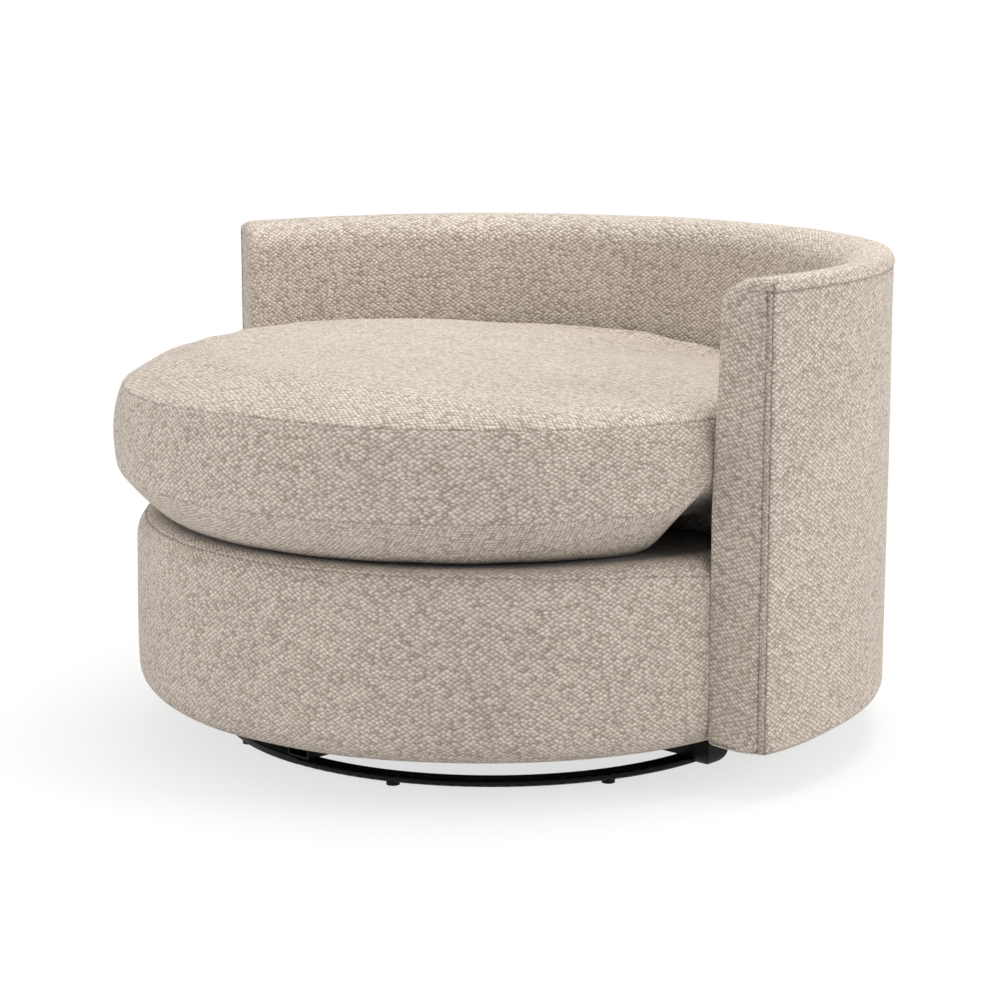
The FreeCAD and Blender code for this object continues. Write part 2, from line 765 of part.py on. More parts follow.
shell_cover_skin = cut("shell_cover_skin", cover_form, foam_form)
shell_cover = cut("shell_cover", shell_cover_skin, joint_bores)
shell_foam_block = cut("shell_foam_block", foam_form, frame_space)
shell_foam = cut("shell_foam", shell_foam_block, joint_bores)
inner_skin_bored = cut("shell_inner_skin", inner_skin, joint_bores)
drum_cover_bored = cut("drum_cover", drum_cover, joint_bores)
drum_foam_bored = cut("drum_foam", drum_foam, joint_bores)
drum_wall_bored = cut("drum_wall", drum_wall, joint_bores)

seat_nodes = [upper_race, upper_plate, seat_bolts, base_board,
              drum_wall_bored, drum_rim, frame_posts, long_straps, cross_straps, deck_pad,
              drum_foam_bored, drum_cover_bored, dust_cloth, inner_skin_bored, outer_skin,
              bottom_rail, top_rail, shell_ribs, shell_foam, shell_cover, joint_rods]


# Seat cushion: crowned, boxed, round in front and behind with a short straight stretch between
CUSHION_RADIUS = "(shell_radius - shell_wall - cushion_side_gap)"
BELLY = "cushion_waist * 1.2"
BOXING = "cushion_seam_height * 2"
SHOULDER = "cushion_edge_inset * 1.2"


def cushion_points(inset):
    outer = "(%s - %s)" % (CUSHION_RADIUS, inset)
    low = "(drum_top + cushion_gap + %s)" % inset
    seam_r = "(%s - cushion_seam_inset)" % outer
    seam_z = "(drum_top + cushion_gap + cushion_seam_height)"
    waist_z = "(drum_top + cushion_gap + cushion_waist)"
    edge_r = "(" + CUSHION_RADIUS + " - cushion_edge_inset)"
    edge_z = "(%s + cushion_edge_rise - %s)" % (seam_z, inset)
    top_z = "(%s + cushion_crown)" % edge_z
    crown_radius = "((%s ^ 2 + cushion_crown ^ 2) / (2 * cushion_crown))" % edge_r
    base_r = "(" + CUSHION_RADIUS + " - cushion_base_inset)"
    return [
        ("0", low),
        (base_r, low),
        (outer, waist_z, BELLY + " - " + inset, 1),
        (seam_r, seam_z, BOXING, 1),
        (edge_r, edge_z, SHOULDER + " - " + inset, 1),
        ("0", top_z, crown_radius, 1),
    ]


def cushion_form(label, inset):
    body = make_body(label)
    points = cushion_points(inset)
    front = outline(body, label + "_front", "XZ_Plane", points, "cushion_forward")
    middle = pad(body, front, "cushion_forward - cushion_back", True)
    mirrored = body.newObject("PartDesign::Mirrored", label + "_mirror")
    mirrored.Originals = [middle]
    mirrored.MirrorPlane = (origin_part(body, "YZ_Plane"), [""])
    body.Tip = mirrored
    doc.recompute()
    front_turn = outline(body, label + "_front_turn", "XZ_Plane", points, "cushion_forward")
    revolve(body, front_turn, 180, True)
    back_turn = outline(body, label + "_back_turn", "XZ_Plane", points, "cushion_back")
    revolve(body, back_turn, 180, False)
    return body


cushion_outer = cushion_form("cushion_outer", "0")
cushion_foam = cushion_form("cushion_foam", "cover_thick")
cushion_cover = cut("cushion_cover", cushion_outer, cushion_foam)
cushion_nodes = [cushion_foam, cushion_cover]

doc.recompute()
for thing in base_nodes:
    turn(thing, "base_turn")
doc.recompute()

# Every object has to be sound before anything is written
for thing in doc.Objects:
    if "Invalid" in thing.State or "Error" in thing.State:
        raise RuntimeError("failed: " + thing.Label)
os.makedirs("parts", exist_ok=True)
for thing in base_nodes + seat_nodes + cushion_nodes:
    shape = thing.Shape
    if shape.isNull() or not shape.isValid():
        raise RuntimeError("bad shape: " + thing.Label)
    name = re.sub(r"\d+$", "", thing.Label)
    shape.exportStep("parts/%s.step" % name)
    print(name, len(shape.Solids), round(shape.Volume / 1000, 1))
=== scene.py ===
import bpy
import bmesh
import math
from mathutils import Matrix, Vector, noise


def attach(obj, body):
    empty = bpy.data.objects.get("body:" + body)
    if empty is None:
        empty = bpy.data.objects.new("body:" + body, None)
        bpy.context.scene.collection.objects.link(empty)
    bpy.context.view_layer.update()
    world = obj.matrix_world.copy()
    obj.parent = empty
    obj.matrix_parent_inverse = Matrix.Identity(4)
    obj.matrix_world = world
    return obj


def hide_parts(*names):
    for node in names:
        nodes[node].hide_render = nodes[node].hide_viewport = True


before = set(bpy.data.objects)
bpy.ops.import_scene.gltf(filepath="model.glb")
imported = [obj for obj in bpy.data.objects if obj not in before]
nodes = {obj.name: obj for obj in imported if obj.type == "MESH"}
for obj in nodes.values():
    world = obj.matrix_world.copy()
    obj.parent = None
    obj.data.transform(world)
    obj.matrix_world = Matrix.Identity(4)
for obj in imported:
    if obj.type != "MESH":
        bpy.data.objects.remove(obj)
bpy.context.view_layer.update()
scene = bpy.context.scene
print("frame loaded,", len(nodes), "nodes")


# Seen from where the photo was taken, in metres, degrees and millimetres of lens
cameraSet = {
    "place": (2.7526, -2.4560, 1.025),
    "turn": (79.05, 0, 48.10),
    "lens": 95.83, "sensor": 36,
    "farthest": 200,
}
lightSet = {
    "room": 0.55, "roomColour": (1, 0.99, 0.975, 1),    # the same from every side
    "lamps": {                                          # place, size across, watts
        "overhead": ((0.1, 0.45, 3.0), 2.4, 68),
        "side": ((3.4, 1.9, 1.7), 1.8, 60),
        "front": ((-0.9, -3.8, 1.3), 2.0, 46),
    },
    "aim": (0, 0, 0.3),
}
floorSet = {
    "paper": 0.85,                          # what the light meets
    "seen": 0.30, "glow": 0.70,             # what the camera sees, lifted but still shaded
    "whiteFrom": 1.0, "whiteTo": 2.6,       # metres out, where the paper turns white
    "size": 60,
}


# A shader node with its inputs by name or number, and its settings by name
def addNode(tree, kind, inputs=None, **settings):
    node = tree.nodes.new("ShaderNode" + kind)
    for name, number in settings.items():
        setattr(node, name, number)
    for name, number in (inputs or {}).items():
        node.inputs[name].default_value = number
    return node


# Links between nodes, each one (from, its output, to, its input)
def wire(tree, *links):
    for source, output, target, entry in links:
        tree.links.new(source.outputs[output], target.inputs[entry])


def placeCamera():
    data = bpy.data.cameras.new("camera")
    data.lens = cameraSet["lens"]
    data.sensor_width = cameraSet["sensor"]
    data.clip_end = cameraSet["farthest"]
    camera = bpy.data.objects.new("camera", data)
    camera.location = cameraSet["place"]
    camera.rotation_euler = [math.radians(a) for a in cameraSet["turn"]]
    scene.collection.objects.link(camera)
    scene.camera = camera


def hangLamp(name, place, size, power):
    data = bpy.data.lights.new(name, "AREA")
    data.shape = "DISK"
    data.size = size
    data.energy = power
    lamp = bpy.data.objects.new(name, data)
    lamp.location = place
    towards = Vector(lightSet["aim"]) - Vector(place)
    lamp.rotation_euler = towards.to_track_quat("-Z", "Y").to_euler()
    scene.collection.objects.link(lamp)


# Gives 1 for what is looked at, straight, mirrored or through glass, and 0 for light on things
def seenByEye(tree):
    path = addNode(tree, "LightPath")
    mirrored = addNode(tree, "Math", operation="MAXIMUM")
    seen = addNode(tree, "Math", operation="MAXIMUM")
    wire(tree, (path, "Is Glossy Ray", mirrored, 0), (path, "Is Transmission Ray", mirrored, 1),
         (path, "Is Camera Ray", seen, 0), (mirrored, 0, seen, 1))
    return seen


# Even light from all round, with a white backdrop for the eye and for reflections
def lightRoom():
    world = bpy.data.worlds.new("studio")
    world.use_nodes = True
    scene.world = world
    tree = world.node_tree
    tree.nodes.clear()
    out = addNode(tree, "OutputWorld")
    room = addNode(tree, "Background", {"Color": lightSet["roomColour"],
                                        "Strength": lightSet["room"]})
    backdrop = addNode(tree, "Background", {"Color": (1, 1, 1, 1)})
    mix = addNode(tree, "MixShader")
    wire(tree, (seenByEye(tree), 0, mix, 0), (room, 0, mix, 1), (backdrop, 0, mix, 2),
         (mix, 0, out, 0))
    for name, (place, size, power) in lightSet["lamps"].items():
        hangLamp(name, place, size, power)


# White paper: plain paper for the light, a lifted one for the eye, and pure white further out
def floorPaper():
    s = floorSet
    material = bpy.data.materials.new("floorPaper")
    material.use_nodes = True
    tree = material.node_tree
    tree.nodes.clear()
    out = addNode(tree, "OutputMaterial")
    paper = addNode(tree, "BsdfDiffuse", {"Color": (s["paper"], s["paper"], s["paper"], 1)})
    seenPaper = addNode(tree, "BsdfDiffuse", {"Color": (s["seen"], s["seen"], s["seen"], 1)})
    glow = addNode(tree, "Emission", {"Strength": s["glow"]})
    white = addNode(tree, "Emission", {"Strength": 1.0})
    lifted = addNode(tree, "AddShader")
    place = addNode(tree, "TexCoord")
    away = addNode(tree, "VectorMath", operation="LENGTH")
    fade = addNode(tree, "MapRange", {"From Min": s["whiteFrom"], "From Max": s["whiteTo"]},
                   interpolation_type="SMOOTHSTEP")
    far = addNode(tree, "MixShader")
    final = addNode(tree, "MixShader")
    wire(tree, (seenPaper, 0, lifted, 0), (glow, 0, lifted, 1), (place, "Object", away, 0),
         (away, "Value", fade, "Value"), (fade, 0, far, 0), (lifted, 0, far, 1),
         (white, 0, far, 2), (seenByEye(tree), 0, final, 0), (paper, 0, final, 1),
         (far, 0, final, 2), (final, 0, out, 0))
    return material


def layFloor():
    half = floorSet["size"] / 2
    mesh = bpy.data.meshes.new("floor")
    mesh.from_pydata([(-half, -half, 0), (half, -half, 0), (half, half, 0), (-half, half, 0)],
                     [], [(0, 1, 2, 3)])
    floor = bpy.data.objects.new("floor", mesh)
    scene.collection.objects.link(floor)
    mesh.materials.append(floorPaper())


placeCamera()
lightRoom()
layFloor()
scene.view_settings.view_transform = "Standard"
print("camera, floor and lamps set")


def newMaterial(name, rough, metal=0.0, gloss=0.5):
    material = bpy.data.materials.new(name)
    material.use_nodes = True
    shader = material.node_tree.nodes["Principled BSDF"]
    shader.inputs["Roughness"].default_value = rough
    shader.inputs["Metallic"].default_value = metal
    shader.inputs["Specular IOR Level"].default_value = gloss
    return material, material.node_tree, shader


def setStops(ramp, stops):
    elements = ramp.color_ramp.elements
    while len(elements) < len(stops):
        elements.new(0.5)
    for element, (place, colour) in zip(elements, stops):
        element.position = place
        element.color = (*colour, 1)


def shaded(colour, factor):
    return [min(channel * factor, 1) for channel in colour]


# Chunky two-tone weave: a lattice of yarn knots laid out in the cloth's own metres
weaveSet = {
    "across": 0.0094, "up": 0.0062,         # from knot to knot, with one more between them
    "loose": 0.40,                          # how far knots stray from the lattice
    "wander": 0.0036, "wanderScale": 38,    # slow drift of the whole lattice
    "knot": (0.12, 0.62),                   # from a knot's middle to the valley round it
    "knotHeight": 0.0010,
    "yarns": [(0.0, (0.45, 0.379, 0.316)), (0.16, (0.555, 0.475, 0.406)),
              (0.5, (0.625, 0.542, 0.467)), (1.0, (0.725, 0.638, 0.557))],
    "valley": 0.61, "paintedKnotLight": 1.08,           # painted shade between the knots and painted light on top of them
    "fibres": 430, "flecks": (0.76, 1.20), "fibreBump": 0.3,
    "patches": 6, "patchShades": (0.97, 1.03),
    "fullPaintedShade": 0.28,                    # painted shade: how dark the cloth's colour goes where the painted shade is full
    "rough": 0.92, "gloss": 0.2, "sheen": 0.12, "sheenRough": 0.5,
}
noiseFrom, noiseTo = 0.3, 0.7               # where a noise texture has most of its values


def spreadNoise(tree, low, high):
    return addNode(tree, "MapRange", {"From Min": noiseFrom, "From Max": noiseTo,
                                      "To Min": low, "To Max": high})


def wovenCloth(name):
    s = weaveSet
    material, tree, shader = newMaterial(name, s["rough"], gloss=s["gloss"])
    shader.inputs["Sheen Weight"].default_value = s["sheen"]
    shader.inputs["Sheen Roughness"].default_value = s["sheenRough"]
    cloth = addNode(tree, "UVMap", uv_map="weave")
    drift = addNode(tree, "TexNoise", {"Scale": s["wanderScale"], "Detail": 2.0},
                    noise_dimensions="2D")
    centred = addNode(tree, "VectorMath", {1: (0.5, 0.5, 0.5)}, operation="SUBTRACT")
    wander = addNode(tree, "VectorMath", {1: (s["wander"], s["wander"], 0)},
                     operation="MULTIPLY")
    moved = addNode(tree, "VectorMath", operation="ADD")
    perKnot = addNode(tree, "Mapping", {"Rotation": (0, 0, math.pi / 4),
                                        "Scale": (math.sqrt(2) / s["across"],
                                                  math.sqrt(2) / s["up"], 1)})
    knots = addNode(tree, "TexVoronoi", {"Scale": 1.0, "Randomness": s["loose"]},
                    voronoi_dimensions="2D", feature="F1")
    wire(tree, (cloth, 0, drift, "Vector"), (drift, "Color", centred, 0), (centred, 0, wander, 0),
         (cloth, 0, moved, 0), (wander, 0, moved, 1), (moved, 0, perKnot, 0),
         (perKnot, 0, knots, "Vector"))
    # domes with painted shade in the valleys between them and painted light on their tops, each
    # knot in its own yarn colour
    dome = addNode(tree, "MapRange", {"From Min": s["knot"][0], "From Max": s["knot"][1],
                                      "To Min": 1.0, "To Max": 0.0},
                   interpolation_type="SMOOTHSTEP")
    split = addNode(tree, "SeparateColor")
    yarn = addNode(tree, "ValToRGB")
    setStops(yarn, s["yarns"])
    fibre = addNode(tree, "TexNoise", {"Scale": s["fibres"], "Detail": 3.0, "Roughness": 0.7},
                    noise_dimensions="2D")
    patch = addNode(tree, "TexNoise", {"Scale": s["patches"], "Detail": 3.0},
                    noise_dimensions="2D")
    # painted shade in the valleys and painted light on the knots' tops, by each knot's height
    deep = addNode(tree, "MapRange", {"To Min": s["valley"], "To Max": s["paintedKnotLight"]})
    flecks = spreadNoise(tree, *s["flecks"])
    tone = spreadNoise(tree, *s["patchShades"])
    # painted shade, kept on each piece's points, darkens the cloth's colour in seams, gaps and
    # under the cushion
    paintedShade = addNode(tree, "Attribute", attribute_name="paintedShade")
    paintedDark = addNode(tree, "MapRange", {"To Min": 1.0, "To Max": s["fullPaintedShade"]})
    shade, allShade, withPaintedShade = [addNode(tree, "Math", operation="MULTIPLY") for i in range(3)]
    colour = addNode(tree, "VectorMath", operation="SCALE")
    height = addNode(tree, "Math", {1: s["fibreBump"]}, operation="MULTIPLY_ADD")
    bump = addNode(tree, "Bump", {"Strength": 1.0, "Distance": s["knotHeight"]})
    wire(tree, (knots, "Distance", dome, "Value"), (knots, "Color", split, 0),
         (split, 0, yarn, 0), (cloth, 0, fibre, "Vector"), (cloth, 0, patch, "Vector"),
         (dome, 0, deep, "Value"), (fibre, 0, flecks, "Value"), (patch, 0, tone, "Value"),
         (deep, 0, shade, 0), (flecks, 0, shade, 1), (shade, 0, allShade, 0),
         (tone, 0, allShade, 1), (paintedShade, "Fac", paintedDark, "Value"), (allShade, 0, withPaintedShade, 0),
         (paintedDark, 0, withPaintedShade, 1), (yarn, 0, colour, 0), (withPaintedShade, 0, colour, "Scale"),
         (colour, 0, shader, "Base Color"), (fibre, 0, height, 0), (dome, 0, height, 2),
         (height, 0, bump, "Height"), (bump, 0, shader, "Normal"))
    return material


# Paint, nylon, metal and foam: one colour broken up by fine grain, with duller clouds in it
def grainedFinish(name, colour, rough, metal, grains, depth, spread=0.12, gloss=0.5):
    material, tree, shader = newMaterial(name, rough, metal, gloss)
    place = addNode(tree, "TexCoord")
    grain = addNode(tree, "TexNoise", {"Scale": grains, "Detail": 4.0})
    clouds = addNode(tree, "TexNoise", {"Scale": 9.0, "Detail": 3.0})
    ramp = addNode(tree, "ValToRGB")
    setStops(ramp, [(noiseFrom, shaded(colour, 1 - spread)), (noiseTo, shaded(colour, 1 + spread))])
    dull = spreadNoise(tree, max(rough - 0.06, 0.02), rough + 0.08)
    bump = addNode(tree, "Bump", {"Strength": 0.6, "Distance": depth})
    wire(tree, (place, "Object", grain, "Vector"), (place, "Object", clouds, "Vector"),
         (clouds, 0, ramp, 0), (ramp, 0, shader, "Base Color"), (clouds, 0, dull, "Value"),
         (dull, 0, shader, "Roughness"), (grain, 0, bump, "Height"),
         (bump, 0, shader, "Normal"))
    return material


# Wood: stretched noise for grain, and plies as bands in height for the plywood
def woodFinish(name, pale, dark, stretch, plies=0):
    material, tree, shader = newMaterial(name, 0.6)
    place = addNode(tree, "TexCoord")
    along = addNode(tree, "Mapping", {"Scale": stretch})
    grain = addNode(tree, "TexNoise", {"Scale": 30.0, "Detail": 6.0, "Distortion": 0.6})
    ramp = addNode(tree, "ValToRGB")
    setStops(ramp, [(0.32, dark), (0.66, pale)])
    bump = addNode(tree, "Bump", {"Strength": 0.4, "Distance": 0.0004})
    wire(tree, (place, "Object", along, 0), (along, 0, grain, "Vector"), (grain, 0, ramp, 0),
         (grain, 0, bump, "Height"), (bump, 0, shader, "Normal"))
    if not plies:
        wire(tree, (ramp, 0, shader, "Base Color"))
        return material
    layers = addNode(tree, "TexWave", {"Scale": plies, "Distortion": 0.4, "Detail": 1.0},
                     bands_direction="Z")
    tint = addNode(tree, "Mix", {"Factor": 0.35}, data_type="RGBA", blend_type="MULTIPLY")
    wire(tree, (place, "Object", layers, "Vector"), (ramp, 0, tint, 6), (layers, 0, tint, 7),
         (tint, 2, shader, "Base Color"))                # the Mix node's colour sockets
    return material


# Thin cloth or webbing: two crossing waves for warp and weft
def thinCloth(name, colour, threads, depth):
    material, tree, shader = newMaterial(name, 0.85)
    place = addNode(tree, "TexCoord")
    warp = addNode(tree, "TexWave", {"Scale": threads}, bands_direction="X")
    weft = addNode(tree, "TexWave", {"Scale": threads}, bands_direction="Y")
    both = addNode(tree, "Math", operation="MULTIPLY")
    ramp = addNode(tree, "ValToRGB")
    setStops(ramp, [(0.0, shaded(colour, 0.7)), (0.8, shaded(colour, 1.2))])
    bump = addNode(tree, "Bump", {"Strength": 0.7, "Distance": depth})
    wire(tree, (place, "Object", warp, "Vector"), (place, "Object", weft, "Vector"),
         (warp, 0, both, 0), (weft, 0, both, 1), (both, 0, ramp, 0),
         (ramp, 0, shader, "Base Color"), (both, 0, bump, "Height"),
         (bump, 0, shader, "Normal"))
    return material


oatmealWeave = wovenCloth("oatmealWeave")
# colour, roughness, metal, grain scale and depth, spread of shade
blackSteel = grainedFinish("blackSteel", (0.0035, 0.0033, 0.0032), 0.40, 0.0, 900, 0.0002,
                           gloss=0.16)
blackNylon = grainedFinish("blackNylon", (0.005, 0.005, 0.005), 0.5, 0.0, 1500, 0.00015,
                           gloss=0.16)
platedSteel = grainedFinish("platedSteel", (0.52, 0.52, 0.5), 0.34, 1.0, 300, 0.0001, 0.1)
brightSteel = grainedFinish("brightSteel", (0.75, 0.75, 0.76), 0.12, 1.0, 200, 0.00002, 0.04)
birchPly = woodFinish("birchPly", (0.66, 0.49, 0.30), (0.50, 0.34, 0.19), (1, 9, 9), 55)
beechWood = woodFinish("beechWood", (0.63, 0.42, 0.25), (0.48, 0.30, 0.17), (8, 8, 1))
seatFoam = grainedFinish("seatFoam", (0.80, 0.74, 0.52), 0.95, 0.0, 700, 0.0008, 0.06)
elasticWeb = thinCloth("elasticWeb", (0.045, 0.045, 0.048), 150, 0.0005)
dustLining = thinCloth("dustLining", (0.022, 0.022, 0.024), 400, 0.0002)

nodeFinishes = {
    "floor_ring": blackSteel, "cross_bar": blackSteel, "side_bars": blackSteel,
    "glides": blackNylon, "bar_caps": blackNylon,
    "lower_swivel_plate": platedSteel, "upper_swivel_plate": platedSteel,
    "lower_race": platedSteel, "upper_race": platedSteel, "king_pin": platedSteel,
    "pin_washer": platedSteel, "pin_nut": platedSteel, "base_bolts": platedSteel,
    "seat_bolts": platedSteel, "joint_bolts": platedSteel, "bearing_balls": brightSteel,
    "base_board": birchPly, "drum_wall": birchPly, "drum_rim": birchPly,
    "shell_inner_skin": birchPly, "shell_outer_skin": birchPly,
    "shell_bottom_rail": birchPly, "shell_top_rail": birchPly,
    "frame_posts": beechWood, "shell_ribs": beechWood,
    "long_straps": elasticWeb, "cross_straps": elasticWeb,
    "deck_pad": seatFoam, "drum_foam": seatFoam, "shell_foam": seatFoam,
    "cushion_foam": seatFoam, "dust_cloth": dustLining,
    "drum_cover": oatmealWeave, "shell_cover": oatmealWeave, "cushion_cover": oatmealWeave,
}
for nodeName, finish in nodeFinishes.items():
    for materialSlot in nodes[nodeName].material_slots:
        materialSlot.material = finish
print("finishes laid on", len(nodeFinishes), "nodes")


def smoothStep(x):
    x = min(max(x, 0.0), 1.0)
    return x * x * (3 - 2 * x)


# A value read off a list of (place, value) pairs, eased from each to the next
def eased(x, stops):
    for (x0, y0), (x1, y1) in zip(stops, stops[1:]):
        if x <= x1:
            return y0 + (y1 - y0) * smoothStep((x - x0) / (x1 - x0))
    return stops[-1][1]


# Part of an ellipse, and a straight run: both leave off their last point
def arc(cx, cz, wide, tall, start, end, steps):
    found = []
    for i in range(steps):
        a = math.radians(start + (end - start) * i / steps)
        found.append((cx + wide * math.cos(a), cz + tall * math.sin(a)))
    return found


def line(x0, z0, x1, z1, steps):
    return [(x0 + (x1 - x0) * i / steps, z0 + (z1 - z0) * i / steps) for i in range(steps)]


# A smooth curve through a few points, with so many short runs from each to the next
def curved(stops, fine):
    path = []
    for i in range(len(stops) - 1):
        a, b = stops[max(i - 1, 0)], stops[i]
        c, d = stops[i + 1], stops[min(i + 2, len(stops) - 1)]
        for k in range(fine):
            t = k / fine
            path.append(tuple(
                b[m] + t / 2 * (c[m] - a[m] + t * (2 * a[m] - 5 * b[m] + 4 * c[m] - d[m]
                                                 + t * (3 * (b[m] - c[m]) + d[m] - a[m])))
                for m in (0, 1)))
    return path + [tuple(stops[-1])]


# How far along a path each of its points lies
def lengths(path):
    total = [0.0]
    for a, b in zip(path, path[1:]):
        total.append(total[-1] + math.dist(a, b))
    return total


# The point at one length along a path, pushed off the path by the last number
def walked(path, total, length, off=0.0):
    k = 0
    while k < len(path) - 2 and total[k + 1] < length:
        k += 1
    (x0, z0), (x1, z1) = path[k], path[k + 1]
    run = total[k + 1] - total[k]
    share = (length - total[k]) / run
    return (x0 + (x1 - x0) * share + (z1 - z0) / run * off,
            z0 + (z1 - z0) * share - (x1 - x0) / run * off)


def turned(u, v, degrees):
    a = math.radians(degrees)
    return (u * math.cos(a) + v * math.sin(a), -u * math.sin(a) + v * math.cos(a))


# clothPlaces holds one (u, v) in metres for each corner of each face, and the last argument
# how much painted shade lies on some of the points, in seams and gaps
def buildPiece(name, points, faces, clothPlaces, paintedShades=None):
    mesh = bpy.data.meshes.new(name)
    mesh.from_pydata([tuple(p) for p in points], [], faces)
    depths = mesh.attributes.new("paintedShade", "FLOAT", "POINT")
    for i, depth in (paintedShades or {}).items():
        depths.data[i].value = depth
    layer = mesh.uv_layers.new(name="weave")
    layer.data.foreach_set("uv", [c for place in clothPlaces for c in place])
    mesh.materials.append(oatmealWeave)
    mesh.polygons.foreach_set("use_smooth", [True] * len(mesh.polygons))
    piece = bpy.data.objects.new(name, mesh)
    scene.collection.objects.link(piece)
    return piece


# Cloth never lies quite flat: a slow swell and a faint ripple along the surface
restlessSet = {"swells": 7.0, "swellFrom": (3.1, 0, 0), "ripples": 26.0, "rippleFrom": (0, 5.7, 0),
               "ripple": 0.0003}


def restless(piece, swell):
    s = restlessSet
    moves = []
    for vertex in piece.data.vertices:
        slow = noise.noise(vertex.co * s["swells"] + Vector(s["swellFrom"]))
        fast = noise.noise(vertex.co * s["ripples"] + Vector(s["rippleFrom"]))
        moves.append(vertex.co + vertex.normal * (slow * swell + fast * s["ripple"]))
    for vertex, place in zip(piece.data.vertices, moves):
        vertex.co = place


shellSet = {
    "inner": 0.484, "wall": 0.067, "bottom": 0.0615, "top": 0.670,
    "innerRound": 0.040, "outerRound": 0.009, "footRound": 0.005, "lowRound": 0.017,
    "lowFade": 18,                          # degrees from the arm end to the full rounding
    "armFront": -0.061, "armSlant": 35 / 67,
    "armRound": 0.020, "overRound": 0.018, "cornerRound": 0.004,
    "pressedRound": 0.003, "pressed": (0.34, 0.64),     # the drum and cushion press it square
    "overDip": 0.9, "footDip": 0.8,         # how far the end's top and foot are drawn in
    "endRings": 8, "behindEnd": (0.002, 0.004, 0.006),  # rings round the arm's end, and behind
    # the arm's inner foot is drawn up: how far, and over what width, depth and height
    "footLift": 0.008, "liftWide": 0.042, "liftDeep": 0.09, "liftTall": 0.05, "liftCurve": 1.6,
    # the sewn edge under the top panel: (below the round, proud of the wall)
    "seamRows": [(0.0, 0.0), (0.0008, 0.0006), (0.0024, 0.0014), (0.0044, 0.0016),
                 (0.0062, 0.0008), (0.0074, -0.0022), (0.0086, -0.0008), (0.010, 0.0002),
                 (0.012, 0.0)],
    # the felled seam beside the arm's outer corner: (from the corner, sunk, how much painted shade)
    "faceBand": [(0.0104, 0.0, 0), (0.0086, 0.0, 0), (0.0076, 0.0008, 0.35),
                 (0.0069, 0.0025, 1.0), (0.0062, 0.0006, 0.35), (0.0051, -0.0010, 0),
                 (0.0040, 0.0003, 0.15), (0.0031, 0.0004, 0.2), (0.0021, -0.0009, 0),
                 (0.0009, 0.0001, 0), (0.0, 0.0, 0.1)],
    "bandEnds": 3,                          # rows over which the seam runs out at the top
    "fold": 0.0018, "foldAt": 3, "foldWide": 0.9,       # the seam's other side, by end ring
    # painted shade laid in the fold and in the groove under the top panel's seam
    "seamShade": 0.46,
    "stations": 84,                         # rings from each arm's end to the middle of the back
    # the arm's front cloth is turned a little and pulled on the bias: (degrees, along, askew)
    "armCloth": (-4.3, 1.13, 0.29),
    "swell": 0.0008,
}

# Rows of the section: its four corners, the edges of its rounds, its seam and its underside
innerFoot, innerTop, outerTop, outerFoot = 2, 66, 82, 146
footRow, innerRoundRow, outerRoundRow, outerFootRow = 4, 60, 72, 142
foldTopRow, foldFootRow = 84, 144
firstSeamRow, grooveRow, underRow = 85, 90, 150
insideRow, outsideRow = 30, 110             # where the cloth's run round the shell is measured


# Closed section of the shell wall, from the inner foot up, over and down the outside. Its four
# corners split it into 64 rows up each side and 16 across the top and the bottom. Each run's
# last number is how many rows it takes.
def shellSection(low):
    s = shellSet
    wall, bottom, top = s["wall"], s["bottom"], s["top"]
    foot, inRound, outRound = s["footRound"], s["innerRound"], s["outerRound"]
    inside = arc(foot, bottom + foot, foot, foot, 270, 180, 4)
    inside += line(0, bottom + foot, 0, top - inRound, 56)
    inside += arc(inRound, top - inRound, inRound, inRound, 180, 90, 12)
    over = line(inRound, top, wall - outRound, top, 7)
    over += arc(wall - outRound, top - outRound, outRound, outRound, 90, 0, 6)
    start = top - outRound
    outside = [(wall + proud, start - down) for down, proud in s["seamRows"][:-1]]
    rest = start - s["seamRows"][-1][0]
    outside += line(wall, rest, wall, bottom + low, 49)
    outside += arc(wall - low, bottom + low, low, low, 0, -90, 8)
    under = line(wall - low, bottom, foot, bottom, 10)
    return inside + over + outside + under


# A point of the arm's slanted front, by how far across the wall, how far back and how high
def armPlace(across, back, z):
    s = shellSet
    radius = s["inner"] + across
    y = s["armFront"] + s["armSlant"] * min(max(across, 0), s["wall"]) + back
    return Vector((math.sqrt(radius * radius - y * y), y, z))


# How the arm end rounds at one point of the section: across, upright, and how far back it starts
def armEase(k, across, z):
    s = shellSet
    free = smoothStep((z - s["pressed"][0]) / (s["pressed"][1] - s["pressed"][0]))
    inside = s["pressedRound"] + (s["armRound"] - s["pressedRound"]) * free
    share = min(max(across / s["wall"], 0), 1)
    reach = inside + (s["cornerRound"] - inside) * share ** 2
    upward = 0.0
    if innerRoundRow <= k < firstSeamRow:
        bend = s["innerRound"] if k < outerRoundRow else s["outerRound"]
        upward = min(max((z - s["top"] + bend) / bend, 0), 1)
        reach = max(reach, s["overRound"] * upward)
    down = -s["overDip"] * reach * upward
    if k < footRow or k >= outerFootRow:
        down = s["cornerRound"] * s["footDip"]
    return inside * (1 - share) - s["cornerRound"] * share, down, reach


